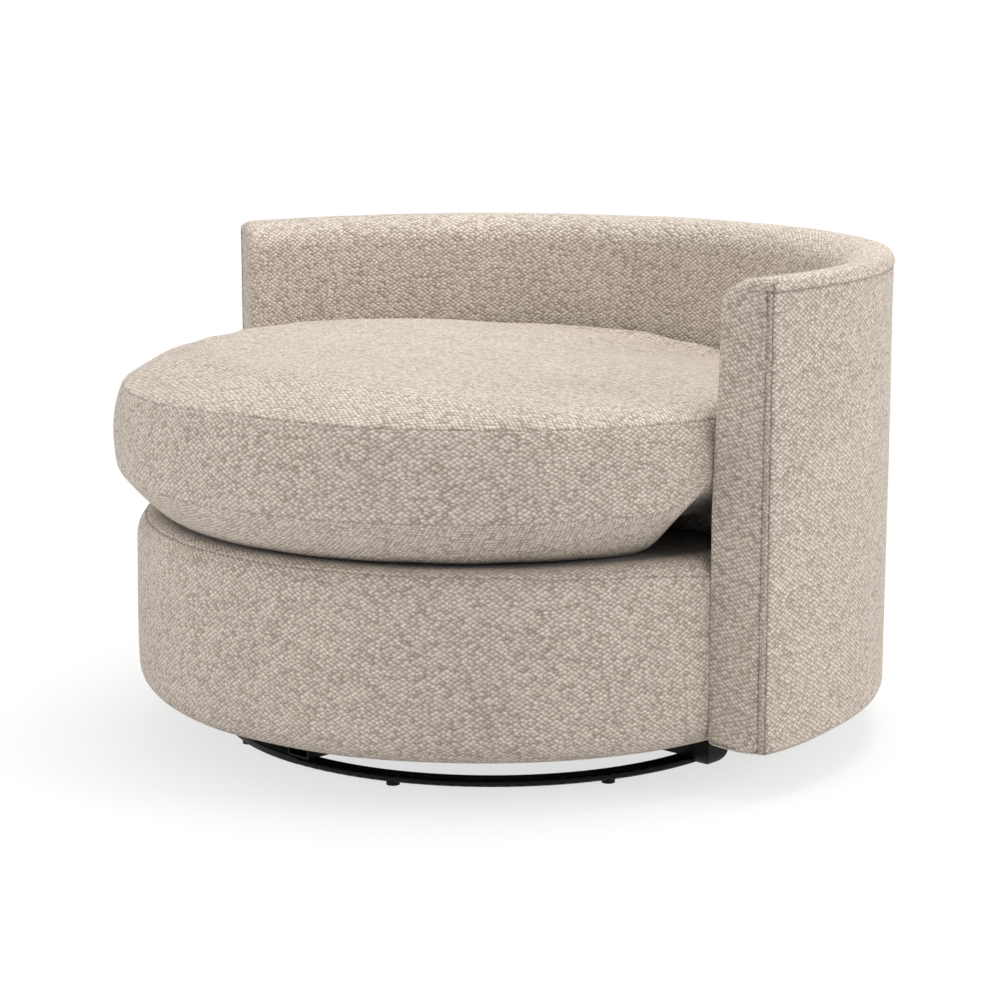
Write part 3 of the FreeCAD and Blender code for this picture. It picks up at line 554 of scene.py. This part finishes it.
def makeShell():
    s = shellSet
    end = shellSection(s["cornerRound"])
    rows, paintedShades = [], {}
    quarter = s["endRings"]
    count = len(end)
    for i in range(quarter + 1):
        t = math.pi / 2 * i / quarter
        shrink = 1 - math.sin(t)
        near = math.exp(-((i - s["foldAt"]) / s["foldWide"]) ** 2)
        ring = []
        for k, (across, z) in enumerate(end):
            sideways, down, reach = armEase(k, across, z)
            folded = near if foldTopRow <= k <= foldFootRow else 0.0
            sunk = s["fold"] * folded
            ring.append(armPlace(across + sideways * shrink - sunk,
                                 reach * (1 - math.cos(t)) + sunk, z + down * shrink))
            # painted shade along the fold
            paintedShades[i * count + k] = s["seamShade"] * folded
        rows.append(ring)
    for back in s["behindEnd"]:
        rows.append([armPlace(across, armEase(k, across, z)[2] + back, z)
                     for k, (across, z) in enumerate(end)])
    # from there each row runs round to the middle of the back, and is mirrored
    starts = [math.atan2(p.y, p.x) for p in rows[-1]]
    for i in range(1, s["stations"] + 1):
        share = i / s["stations"]
        low = s["cornerRound"] + (s["lowRound"] - s["cornerRound"]) * smoothStep(
            share * 90 / s["lowFade"])
        ring = []
        for start, (across, z) in zip(starts, shellSection(low)):
            angle = start + (math.pi / 2 - start) * share
            radius = s["inner"] + across
            ring.append(Vector((radius * math.cos(angle), radius * math.sin(angle), z)))
        rows.append(ring)
    rings = rows + [[Vector((-p.x, p.y, p.z)) for p in ring] for ring in rows[-2::-1]]
    last = len(rings) - 1
    points = [p for ring in rings for p in ring]
    for i in range(quarter + 1):
        for k in range(count):
            paintedShades[(last - i) * count + k] = paintedShades[i * count + k]
    # painted shade along the groove of the top panel's seam
    for r in range(2, last - 1):
        paintedShades[r * count + grooveRow] = s["seamShade"]
    insideRun = lengths([ring[insideRow] for ring in rings])
    outsideRun = lengths([ring[outsideRow] for ring in rings])
    climb = lengths([(p.y, p.z) for p in rows[-1] + rows[-1][:1]])
    wraps = [wrapPlaces(rows[:quarter + 1], k, end) for k in range(count)]
    faces, places = [], []
    for r in range(last):
        for k in range(count):
            n = (k + 1) % count
            faces.append((r * count + k, r * count + n, (r + 1) * count + n, (r + 1) * count + k))
            outside = grooveRow <= k < underRow
            corners = ((r, k), (r, k + 1), (r + 1, k + 1), (r + 1, k))
            if not outside and (r < quarter or r >= last - quarter):
                places += [wraps[kk % count][min(rr, last - rr)] for rr, kk in corners]
            else:
                run = outsideRun if outside else insideRun
                places += [(run[rr], climb[kk]) for rr, kk in corners]
    closeArmEnd(points, faces, places, paintedShades, 0, count, False)
    closeArmEnd(points, faces, places, paintedShades, last * count, count, True)
    for p in points:
        across = math.hypot(p.x, p.y) - s["inner"]
        inward = min(max(1 - across / s["liftWide"], 0), 1) ** s["liftCurve"]
        near = smoothStep(1 - (p.y - s["armFront"]) / s["liftDeep"])
        p.z += s["footLift"] * inward * near * smoothStep(
            1 - (p.z - s["bottom"]) / s["liftTall"])
    return buildPiece("shellUpholstery", points, faces, places, paintedShades)


# Where a point of the arm's front lies in its own cloth
def facePlace(along, z):
    degrees, stretch, askew = shellSet["armCloth"]
    along *= math.hypot(1, shellSet["armSlant"])
    return turned(along * stretch, z + askew * along, degrees)


# The cloth of the arm's front runs on over its rounded edge
def wrapPlaces(rows, k, section):
    (x0, z0), (x1, z1) = section[k - 1], section[(k + 1) % len(section)]
    size = math.hypot(x1 - x0, z1 - z0)
    outward = (-(z1 - z0) / size, (x1 - x0) / size)
    total = lengths([ring[k] for ring in rows])
    first = rows[0][k]
    return [facePlace(abs(first.x) + outward[0] * far, first.z + outward[1] * far)
            for far in total]


# The point of an edge that stands so far out from the middle of the chair
def onEdge(edge, x):
    for a, b in zip(edge, edge[1:]):
        if abs(b.x) >= x:
            return a.lerp(b, (x - abs(a.x)) / (abs(b.x) - abs(a.x)))
    return edge[-1]


# The flat front of an arm, filled between its four edges, with the inner line of the seam
def closeArmEnd(points, faces, places, paintedShades, start, count, mirrored):
    s = shellSet
    left = [points[start + k] for k in range(innerFoot, innerTop + 1)]
    right = [points[start + k] for k in range(outerFoot, outerTop - 1, -1)]
    over = [points[start + k] for k in range(innerTop, outerTop + 1)]
    under = [points[start + k % count] for k in range(innerFoot + count, outerFoot - 1, -1)]
    tall, wide = len(left) - 1, len(over) - 1
    plain = wide + 1 - len(s["faceBand"])
    index = {}
    for i in range(tall + 1):
        index[i, 0] = start + innerFoot + i
        index[i, wide] = start + outerFoot - i
    for j in range(1, wide):
        index[0, j] = start + (innerFoot + count - j) % count
        index[tall, j] = start + innerTop + j
    for i in range(1, tall):
        v = i / tall
        width = (right[i] - left[i]).length
        for j in range(1, wide):
            if j < plain:
                u = j / plain * (1 - s["faceBand"][0][0] / width)
                sunk = paintedDark = 0.0
            else:
                fromCorner, sunk, paintedDark = s["faceBand"][j - plain]
                u = 1 - fromCorner / width
            place = left[i].lerp(right[i], u)
            for edge, share, row in ((under, 1 - v, 0), (over, v, tall)):
                straight = left[row].lerp(right[row], u)
                place += (onEdge(edge, abs(straight.x)) - straight) * share
            ending = smoothStep((tall - i) / s["bandEnds"])
            place.y += sunk * ending
            index[i, j] = len(points)
            # painted shade in the felled seam's lines
            paintedShades[len(points)] = paintedDark * ending
            points.append(place)
    for i in range(tall):
        for j in range(wide):
            loop = [index[i, j], index[i, j + 1], index[i + 1, j + 1], index[i + 1, j]]
            if mirrored:
                loop.reverse()
            faces.append(tuple(loop))
            places.extend(facePlace(abs(points[c].x), points[c].z) for c in loop)


shellPiece = makeShell()
restless(shellPiece, shellSet["swell"])
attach(shellPiece, "seat")
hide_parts("shell_cover", "shell_foam")
print("shell upholstery made")


drumSet = {
    "centre": -0.018, "radius": 0.4833, "low": 0.0621, "top": 0.312,
    "lowRound": 0.040, "hem": 0.034, "cloth": 0.0024,
    "belly": 0.0016, "bellyAt": 0.150, "bellyTall": 0.075,      # the foam swells half way up
    "shoulder": (0.028, 0.036),             # how wide and how tall the top edge rounds
    # height of the band seam round the drum, by degrees from straight in front
    "seam": [(0, 0.3062), (45, 0.3062), (72, 0.2995), (86, 0.2895), (180, 0.2895)],
    # (along the cover from the seam, proud of it)
    "seamRows": [(-0.006, 0.0), (-0.0034, 0.0006), (-0.0016, 0.0), (0.0, -0.0017),
                 (0.0014, -0.0002), (0.0032, 0.0005), (0.006, 0.0)],
    # painted shade in the band seam's valley
    "seamShade": 0.32,
    # rows of the cover below and above its seam, and rings of the deck
    "below": 34, "above": 9, "deckRings": 20, "deckCentre": 0.02, "columns": 320,
    "pressed": 0.4836, "pressedFrom": -0.066, "pressedEase": 0.006,     # held in by the arms
    "topTurn": 57,
    "shadeOver": 0.06,                      # share of the deck over which the painted shade comes in
    "swell": 0.0009,
}


def makeDrum():
    s = drumSet
    radius, low, top, columns = s["radius"], s["low"], s["top"], s["columns"]
    wide, tall = s["shoulder"]
    turn = radius - s["lowRound"]
    side = line(turn - s["hem"], low, turn, low, 6)
    side += arc(turn, low + s["lowRound"], s["lowRound"], s["lowRound"], -90, 0, 16)
    side += line(radius, low + s["lowRound"], radius, top - tall, 40)
    side += arc(radius - wide, top - tall, wide, tall, 0, 90, 40)
    side = [(r + s["belly"] * math.exp(-((z - s["bellyAt"]) / s["bellyTall"]) ** 2), z)
            for r, z in side] + [(radius - wide, top)]
    total = lengths(side)
    valley = s["below"] + 3                 # row of the band seam's bottom
    points, climbs = [], []
    for c in range(columns):
        angle = 2 * math.pi * c / columns + math.pi / 2
        around = abs(math.degrees(math.remainder(angle + math.pi / 2, 2 * math.pi)))
        height = eased(around, s["seam"])
        seamAt = next(total[k] for k in range(len(side)) if side[k][1] >= height)
        first, last = seamAt + s["seamRows"][0][0], seamAt + s["seamRows"][-1][0]
        column = [(first * i / s["below"], 0.0) for i in range(s["below"])]
        column += [(seamAt + along, proud) for along, proud in s["seamRows"]]
        column += [(last + (total[-1] - last) * i / s["above"], 0.0)
                   for i in range(1, s["above"] + 1)]
        profile = [walked(side, total, along, proud) for along, proud in column]
        for i in range(1, s["deckRings"] + 1):
            share = i / s["deckRings"]
            profile.append((radius - wide + (s["deckCentre"] - radius + wide) * share, top))
        points.append([Vector((r * math.cos(angle), r * math.sin(angle) + s["centre"], z))
                       for r, z in profile])
        climbs.append([along for along, proud in column])
    rows = len(points[0])
    onSide = rows - s["deckRings"]
    step = 2 * math.pi * radius / columns
    faces, places = [], []
    for k in range(rows - 1):
        for c in range(columns):
            n = (c + 1) % columns
            loop = ((c, k), (n, k), (n, k + 1), (c, k + 1))
            faces.append(tuple(i * rows + j for i, j in loop))
            if k < onSide - 1:
                places += [((c if i == c else c + 1) * step, climbs[i][j]) for i, j in loop]
            else:
                places += [turned(points[i][j].x, points[i][j].y, s["topTurn"]) for i, j in loop]
    flat = [p for column in points for p in column]
    for c in range(columns):
        loop = (c * rows + rows - 1, (c + 1) % columns * rows + rows - 1, len(flat))
        faces.append(loop)
        places += [(0.0, 0.0)] * 3
    flat.append(Vector((0, s["centre"], top)))
    for p in flat:
        reach = math.hypot(p.x, p.y)
        held = smoothStep((p.y - s["pressedFrom"]) / s["pressedEase"])
        if reach > s["pressed"]:
            squeeze = 1 + (s["pressed"] / reach - 1) * held
            p.x, p.y = p.x * squeeze, p.y * squeeze
    # painted shade: a line along the band seam, and the deck darkened as if the cushion shaded it
    paintedShades = {}
    for c in range(columns):
        paintedShades[c * rows + valley] = s["seamShade"]
        for k in range(onSide, rows):       # painted deep shade on the deck, for the shade under the cushion
            share = (k - onSide + 1) / s["deckRings"]
            paintedShades[c * rows + k] = smoothStep(share / s["shadeOver"])
    paintedShades[columns * rows] = 1.0
    return buildPiece("drumUpholstery", flat, faces, places, paintedShades)


drumPiece = makeDrum()
restless(drumPiece, drumSet["swell"])
coverThickness = drumPiece.modifiers.new("coverThickness", "SOLIDIFY")
coverThickness.thickness = drumSet["cloth"]
coverThickness.offset = -1
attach(drumPiece, "seat")
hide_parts("drum_cover", "drum_foam")
print("drum upholstery made")


cushionSet = {
    "radius": 0.4834, "frontCentre": -0.054, "backCentre": 0.005, "floor": 0.3125,
    # each panel from its inner edge to its outer: (in from the widest line, up from the deck)
    "under": [(0.080, 0.0), (0.073, 0.0006), (0.062, 0.008), (0.045, 0.026), (0.025, 0.047),
              (0.0035, 0.0695)],
    "box": [(0.0035, 0.0695), (0.0005, 0.085), (0.0, 0.102), (0.0003, 0.122), (0.0018, 0.144),
            (0.0048, 0.166), (0.0095, 0.1865)],
    "over": [(0.0095, 0.1865), (0.018, 0.1945), (0.032, 0.2015), (0.052, 0.2065), (0.078, 0.2100)],
    "crown": 0.009, "coreCrown": 0.97,      # how far the middle rises, and its share in the core
    "squash": 0.985,                        # its own weight lowers it a little
    # the top settles towards the back and the right arm: (x, y, x by x, y by y behind, x by y)
    "settle": (-0.0084, -0.0124, 0.034, -0.10, 0.038), "settleFrom": (0.0095, 0.06),
    "rightDrop": 0.014, "rightFrom": (0.15, 0.3),
    # the underside rises beside the arms: at which degrees, how wide, from how far in, how high up
    "lift": 0.064, "liftAt": -1, "liftWide": 2.2, "liftFrom": (0.22, 0.12), "liftTo": 0.125,
    # painted shade on the underside beside the arms (how strong, and from how high up it fades in),
    # and along its lower edge (up to how high)
    "liftShade": 1.6, "liftShadeFrom": (0.066, 0.04), "footShade": 0.012,
    # how far the upper seam rises or falls round the cushion, by degrees from the right side
    "seamRise": [(-180, -0.004), (-115, -0.002), (-78, 0.004), (-50, 0.0), (-15, -0.004),
                 (0, -0.007), (25, -0.014), (60, -0.026), (85, -0.028), (98, -0.020),
                 (110, -0.010), (130, -0.006), (180, -0.004)],
    "upperFrom": (0.10, 0.08),              # from how high, over what height, the top half moves
    "columns": 240, "straight": 4, "rings": 14, "core": 0.300,
    "slack": 0.006, "slackFrom": (0.16, 0.08),      # sewn this much small, to be filled out
    "panelTurn": 14.6,
}
swellSet = {
    "frames": 20,
    # the cover's cloth, by the names of the cloth modifier's own settings
    "cloth": {"quality": 6, "mass": 0.4, "tension_stiffness": 25, "compression_stiffness": 25,
              "shear_stiffness": 12, "bending_stiffness": 3, "use_pressure": True,
              "uniform_pressure_force": 3.5, "vertex_group_mass": "held", "shrink_min": -0.02},
    "seamHold": 0.85, "coreHold": 1.0,      # how firmly the seams and the underside stay put
    "evened": 12, "cap": 0.010,
}
sewSet = {
    # the seams' valleys: how wide, how deep, and how much painted shade lies in them
    "wide": 0.0017, "deep": 0.0012, "shade": 0.24,
    "wall": 0.4832, "wallFrom": -0.04,      # the arms' inner face, and where it begins
}


# Direction of a column, and the centre that it runs from: the plan is two half rounds and a gap
def cushionColumn(c):
    s = cushionSet
    straight = s["straight"]
    half = s["columns"] // 2 - straight
    gap = s["frontCentre"] - s["backCentre"]
    if c < half:                            # the back, from the right side to the left
        return math.pi * c / half, s["backCentre"]
    if c < half + straight:
        return math.pi, s["backCentre"] + gap * (c - half) / straight
    c -= half + straight
    if c < half:
        return math.pi + math.pi * c / half, s["frontCentre"]
    return 2 * math.pi, s["frontCentre"] - gap * (c - half) / straight


# Eased from 0 to 1 as x rises past a place, or falls past it: (place, over what distance)
def fromOn(x, span):
    return smoothStep((x - span[0]) / span[1])


def downFrom(x, span):
    return smoothStep((span[0] - x) / span[1])


# How far the top has settled at one place, nothing at its seam
def settled(x, y, inset, up):
    s = cushionSet
    a, b, c, d, e = s["settle"]
    back = y - (s["frontCentre"] + s["backCentre"]) / 2
    change = a * x + b * back + c * x * x + d * max(back, 0) ** 2 + e * x * back
    change -= s["rightDrop"] * fromOn(x, s["rightFrom"])
    return change * fromOn(inset, s["settleFrom"]) * fromOn(up, s["upperFrom"])


def makeCushion():
    s = cushionSet
    n, rings = s["columns"], s["rings"]
    under, box, over = [curved(s[panel], fine=2) for panel in ("under", "box", "over")]
    footAt, rimAt = s["radius"] - under[0][0], s["radius"] - over[-1][0]
    # rings from the middle of the underside to the middle of the top: (inset, up, panel)
    shapes = [(s["radius"] - s["core"] - (footAt - s["core"]) * i / rings, 0.0, 0)
              for i in range(rings)]
    shapes += [(inset, up, 0) for inset, up in under]
    lowSeam = len(shapes) - 1
    shapes += [(inset, up, 1) for inset, up in box[1:]]
    highSeam = len(shapes) - 1
    shapes += [(inset, up, 2) for inset, up in over[1:]]
    for i in range(1, rings + 1):
        r = rimAt + (s["core"] - rimAt) * i / rings
        shapes.append((s["radius"] - r, over[-1][1] + s["crown"] * (1 - (r / rimAt) ** 2), 2))
    run = lengths([(inset, up) for inset, up, panel in shapes])
    points, paintedShades = [], {}
    for inset, up, panel in shapes:
        for c in range(n):
            angle, centre = cushionColumn(c)
            degrees = math.degrees(math.remainder(angle, 2 * math.pi))
            fromArm = min(abs(degrees - s["liftAt"]), abs(abs(degrees) - 180 - s["liftAt"]))
            raised = math.exp(-fromArm / s["liftWide"])
            rise = eased(degrees, s["seamRise"]) * fromOn(up, s["upperFrom"])
            lift = s["lift"] * raised * downFrom(inset, s["liftFrom"]) * max(
                1 - up / s["liftTo"], 0)
            # painted shade on the underside, for the dark gap beside the arms and the contact shade
            # along the lower edge
            if panel == 0:
                shade = max(s["liftShade"] * raised * downFrom(up, s["liftShadeFrom"]),
                            smoothStep((s["footShade"] - up) / s["footShade"]))
                paintedShades[len(points)] = min(shade, 1.0)
            r = s["radius"] - inset - s["slack"] * downFrom(inset, s["slackFrom"])
            x, y = r * math.cos(angle), centre + r * math.sin(angle)
            z = s["floor"] + up * s["squash"] + lift + rise + settled(x, y, inset, up)
            points.append(Vector((x, y, z)))
    faces, places = [], []
    perimeter = 2 * math.pi * s["radius"] / n
    for k in range(len(shapes) - 1):
        panel = shapes[k + 1][2]
        for c in range(n):
            m = (c + 1) % n
            faces.append((k * n + c, k * n + m, (k + 1) * n + m, (k + 1) * n + c))
            for i, j in ((k, c), (k, c + 1), (k + 1, c + 1), (k + 1, c)):
                if panel == 1:
                    places.append((j * perimeter, run[i]))
                    continue
                # the round panels lie flat when cut, so their cloth runs straight across
                far = s["core"] + (run[i] if panel == 0 else run[-1] - run[i])
                angle, centre = cushionColumn(j % n)
                places.append(turned(far * math.cos(angle), centre + far * math.sin(angle),
                                     s["panelTurn"]))
    fillCore(points, faces, places, 0, True)
    fillCore(points, faces, places, (len(shapes) - 1) * n, False)
    piece = buildPiece("seatCushion", points, faces, places, paintedShades)
    form = bmesh.new()
    form.from_mesh(piece.data)
    form.verts.ensure_lookup_table()
    for row in (lowSeam, highSeam):
        for c in range(n):
            ends = (form.verts[row * n + c], form.verts[row * n + (c + 1) % n])
            form.edges.get(ends).seam = True
    form.to_mesh(piece.data)
    form.free()
    held = piece.vertex_groups.new(name="held")
    seams = [row * n + c for row in (lowSeam, highSeam) for c in range(n)]
    held.add(seams, swellSet["seamHold"], "REPLACE")
    held.add(list(range(rings * n)), swellSet["coreHold"], "REPLACE")
    return piece


# A square grid of faces inside the innermost ring
def fillCore(points, faces, places, start, below):
    s = cushionSet
    n = s["columns"]
    side = n // 4
    ring = [start + (n // 8 + i) % n for i in range(n)]
    index = {}
    for i in range(side + 1):
        index[i, 0] = ring[i]
        index[side, i] = ring[side + i]
        index[side - i, side] = ring[2 * side + i]
        index[0, side - i] = ring[(3 * side + i) % n]
    middle = (s["frontCentre"] + s["backCentre"]) / 2
    rimAt = s["radius"] - s["over"][-1][0]
    for i in range(1, side):
        u = i / side
        for j in range(1, side):
            v = j / side
            p = (points[index[i, 0]] * (1 - v) + points[index[i, side]] * v
                 + points[index[0, j]] * (1 - u) + points[index[side, j]] * u
                 - points[index[0, 0]] * (1 - u) * (1 - v) - points[index[side, 0]] * u * (1 - v)
                 - points[index[0, side]] * (1 - u) * v - points[index[side, side]] * u * v)
            if not below:
                away = math.hypot(p.x, p.y - middle)
                rounded = (s["core"] / rimAt) ** 2 - (away / rimAt) ** 2
                p.z += s["crown"] * rounded * s["coreCrown"]
            index[i, j] = len(points)
            points.append(p)
    for i in range(side):
        for j in range(side):
            loop = [index[i, j], index[i + 1, j], index[i + 1, j + 1], index[i, j + 1]]
            if below:
                loop.reverse()
            faces.append(tuple(loop))
            places.extend(turned(points[c].x, points[c].y, s["panelTurn"]) for c in loop)


# Air pressed into the cover: it swells between its seams, and no point moves past the cap
def inflate(piece):
    s = swellSet
    cloth = piece.modifiers.new("cloth", "CLOTH")
    for name, number in s["cloth"].items():
        setattr(cloth.settings, name, number)
    cloth.settings.effector_weights.gravity = 0
    cloth.point_cache.frame_start = 1
    cloth.point_cache.frame_end = s["frames"]
    for number in range(1, s["frames"] + 1):
        scene.frame_set(number)
    graph = bpy.context.evaluated_depsgraph_get()
    swollen = [v.co.copy() for v in piece.evaluated_get(graph).data.vertices]
    piece.modifiers.remove(cloth)
    scene.frame_set(1)
    steps = [end - vertex.co for vertex, end in zip(piece.data.vertices, swollen)]
    beside = [[] for vertex in piece.data.vertices]
    for a, b in (edge.vertices for edge in piece.data.edges):
        beside[a].append(b)
        beside[b].append(a)
    for again in range(s["evened"]):        # wrinkles go, the swell stays
        steps = [(step + sum((steps[i] for i in near), Vector())) / (len(near) + 1)
                 for step, near in zip(steps, beside)]
    capped = 0
    for vertex, step in zip(piece.data.vertices, steps):
        if step.length > s["cap"]:
            step *= s["cap"] / step.length
            capped += 1
        vertex.co += step
    print("cushion swollen,", capped, "of", len(steps), "points held at the cap")


# The boxing seams are sunk as narrow valleys with painted shade in them, and the cushion is kept
# off the arms and deck
def sewSeams(piece):
    s = sewSet
    finer = piece.modifiers.new("finer", "SUBSURF")
    finer.levels = finer.render_levels = 1
    graph = bpy.context.evaluated_depsgraph_get()
    mesh = bpy.data.meshes.new_from_object(piece.evaluated_get(graph))
    piece.modifiers.remove(finer)
    form = bmesh.new()
    form.from_mesh(mesh)
    form.normal_update()
    made = bmesh.ops.bevel(form, geom=[e for e in form.edges if e.seam], offset=s["wide"],
                           segments=2, profile=0.5, affect="EDGES")
    strip = set(made["faces"])
    form.normal_update()
    valley = [v for v in made["verts"] if all(f in strip for f in v.link_faces)]
    paintedDark = form.verts.layers.float["paintedShade"]
    # each valley is sunk and takes painted shade
    for v in valley:
        v.co -= v.normal * s["deep"]
        v[paintedDark] = max(v[paintedDark], s["shade"])
    for v in form.verts:
        reach = math.hypot(v.co.x, v.co.y)
        if v.co.y > s["wallFrom"] and reach > s["wall"]:
            v.co.x *= s["wall"] / reach
            v.co.y *= s["wall"] / reach
        elif abs(v.co.x) > s["wall"] and v.co.y > 2 * s["wallFrom"]:
            v.co.x = math.copysign(s["wall"], v.co.x)
        v.co.z = max(v.co.z, cushionSet["floor"])
    form.to_mesh(mesh)
    form.free()
    piece.data = mesh
    mesh.polygons.foreach_set("use_smooth", [True] * len(mesh.polygons))


cushionPiece = makeCushion()
inflate(cushionPiece)
sewSeams(cushionPiece)
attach(cushionPiece, "cushion")
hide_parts("cushion_cover", "cushion_foam")
print("seat cushion made")
